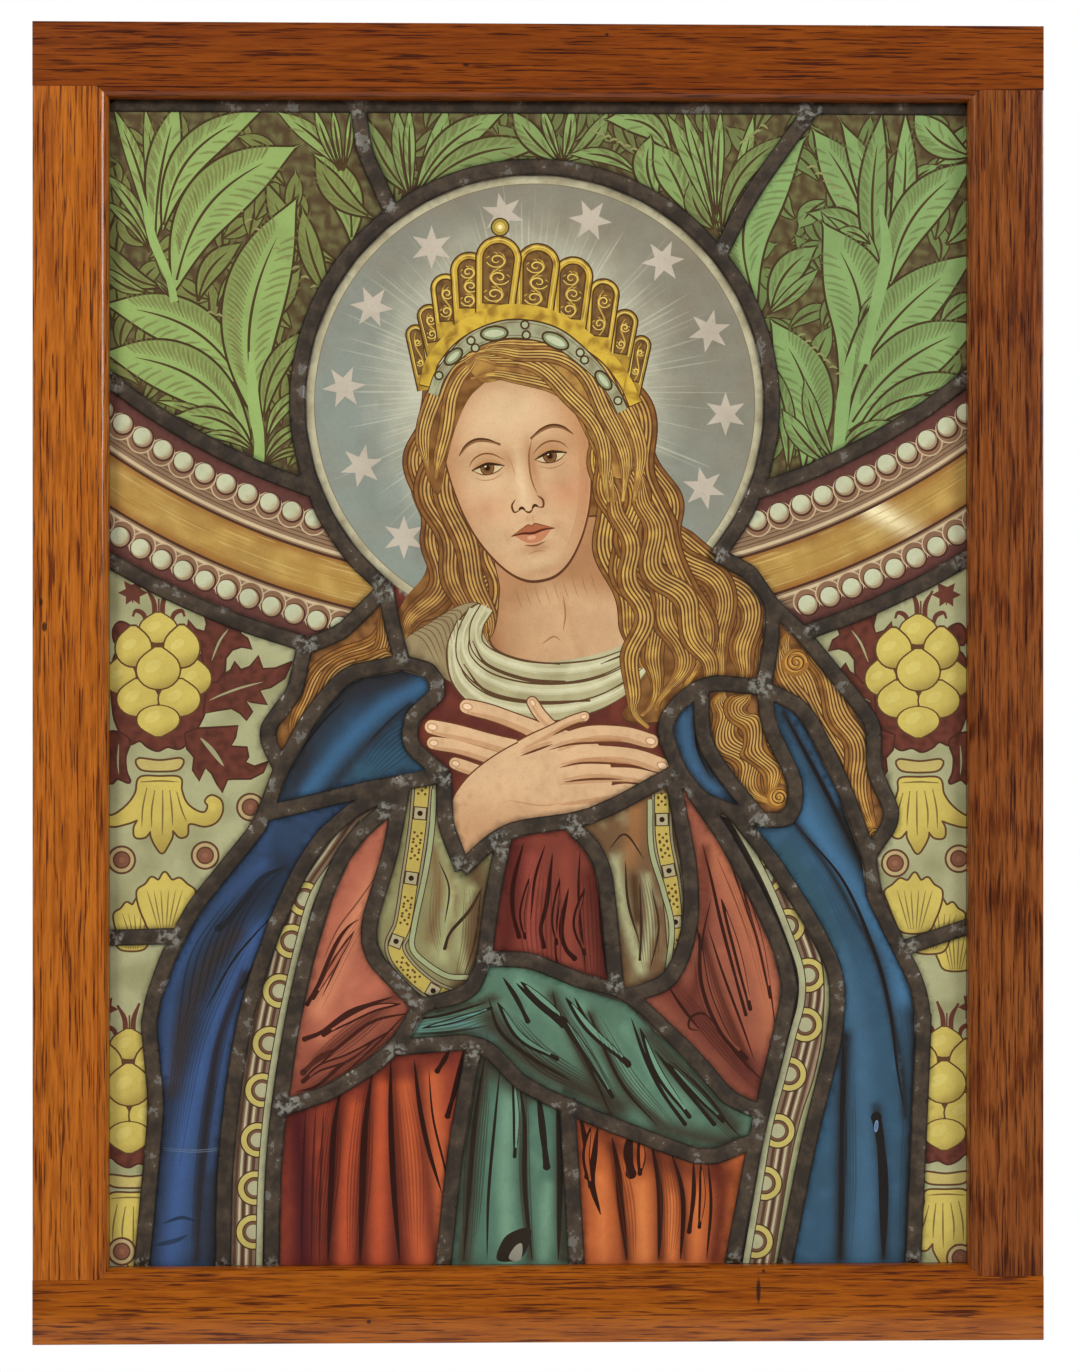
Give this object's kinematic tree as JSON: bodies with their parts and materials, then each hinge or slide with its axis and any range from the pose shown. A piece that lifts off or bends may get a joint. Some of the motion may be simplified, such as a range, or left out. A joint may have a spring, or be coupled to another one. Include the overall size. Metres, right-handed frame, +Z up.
{
  "type": "stained glass window",
  "caption": "Rectangular leaded panel of painted glass showing a crowned, haloed figure with crossed hands, set in a moulded oak frame for hanging or building in.",
  "frame": {"origin": "hanging point: centre of the flat back face of the top rail", "axes": "+X to the viewer's right, +Z up, +Y into the wall: the painted face looks along -Y and the back of the frame lies at y = 0"},
  "size_m": [0.69, 0.035, 0.9],
  "materials": {
    "oak": "varnished oak, satin, worn arrises",
    "oak_dark": "varnished oak, redder and darker, satin",
    "oak_bead": "unvarnished oak bead, matt",
    "lead": "oxidised lead came with bright solder at the joints",
    "glass_foliage": "pale green glass with brown painted leaves",
    "glass_arch_band": "gold band between pearl rows on brown",
    "glass_halo": "grey-blue halo and painted head and hands",
    "glass_damask": "pale grey-green ground with yellow and maroon damask",
    "glass_hair": "amber glass painted as hair",
    "glass_blue": "blue glass with dark painted folds",
    "glass_orphrey": "cream and yellow painted border strip",
    "glass_salmon": "salmon glass with brown folds",
    "glass_cuff": "pale green-cream glass with a yellow dotted band",
    "glass_bodice": "maroon glass with dark folds",
    "glass_sash": "teal glass with dark folds",
    "glass_skirt": "red and orange glass with dark folds"
  },
  "bodies": {
    "root": {"top_rail": "oak", "bottom_rail": "oak", "left_stile": "oak", "right_stile": "oak_dark", "bead_top": "oak_bead", "bead_bottom": "oak_bead", "bead_left": "oak_bead", "bead_right": "oak_bead", "lead_cames": "lead", "glass_foliage_left": "glass_foliage", "glass_foliage_top": "glass_foliage", "glass_foliage_right": "glass_foliage", "glass_arch_band_left": "glass_arch_band", "glass_arch_band_right": "glass_arch_band", "glass_head_and_halo": "glass_halo", "glass_damask_left_upper": "glass_damask", "glass_damask_left_lower": "glass_damask", "glass_damask_right_upper": "glass_damask", "glass_damask_right_lower": "glass_damask", "glass_hair_lock_left": "glass_hair", "glass_hair_lock_chest": "glass_hair", "glass_hair_lock_right": "glass_hair", "glass_shoulder_left": "glass_blue", "glass_shoulder_right": "glass_blue", "glass_mantle_left": "glass_blue", "glass_mantle_right": "glass_blue", "glass_orphrey_left": "glass_orphrey", "glass_orphrey_right": "glass_orphrey", "glass_sleeve_left": "glass_salmon", "glass_sleeve_right": "glass_salmon", "glass_cuff_left": "glass_cuff", "glass_cuff_right": "glass_cuff", "glass_bodice": "glass_bodice", "glass_sash": "glass_sash", "glass_sash_tail": "glass_sash", "glass_skirt_left": "glass_skirt", "glass_skirt_right": "glass_skirt"}
  },
  "joints": []
}
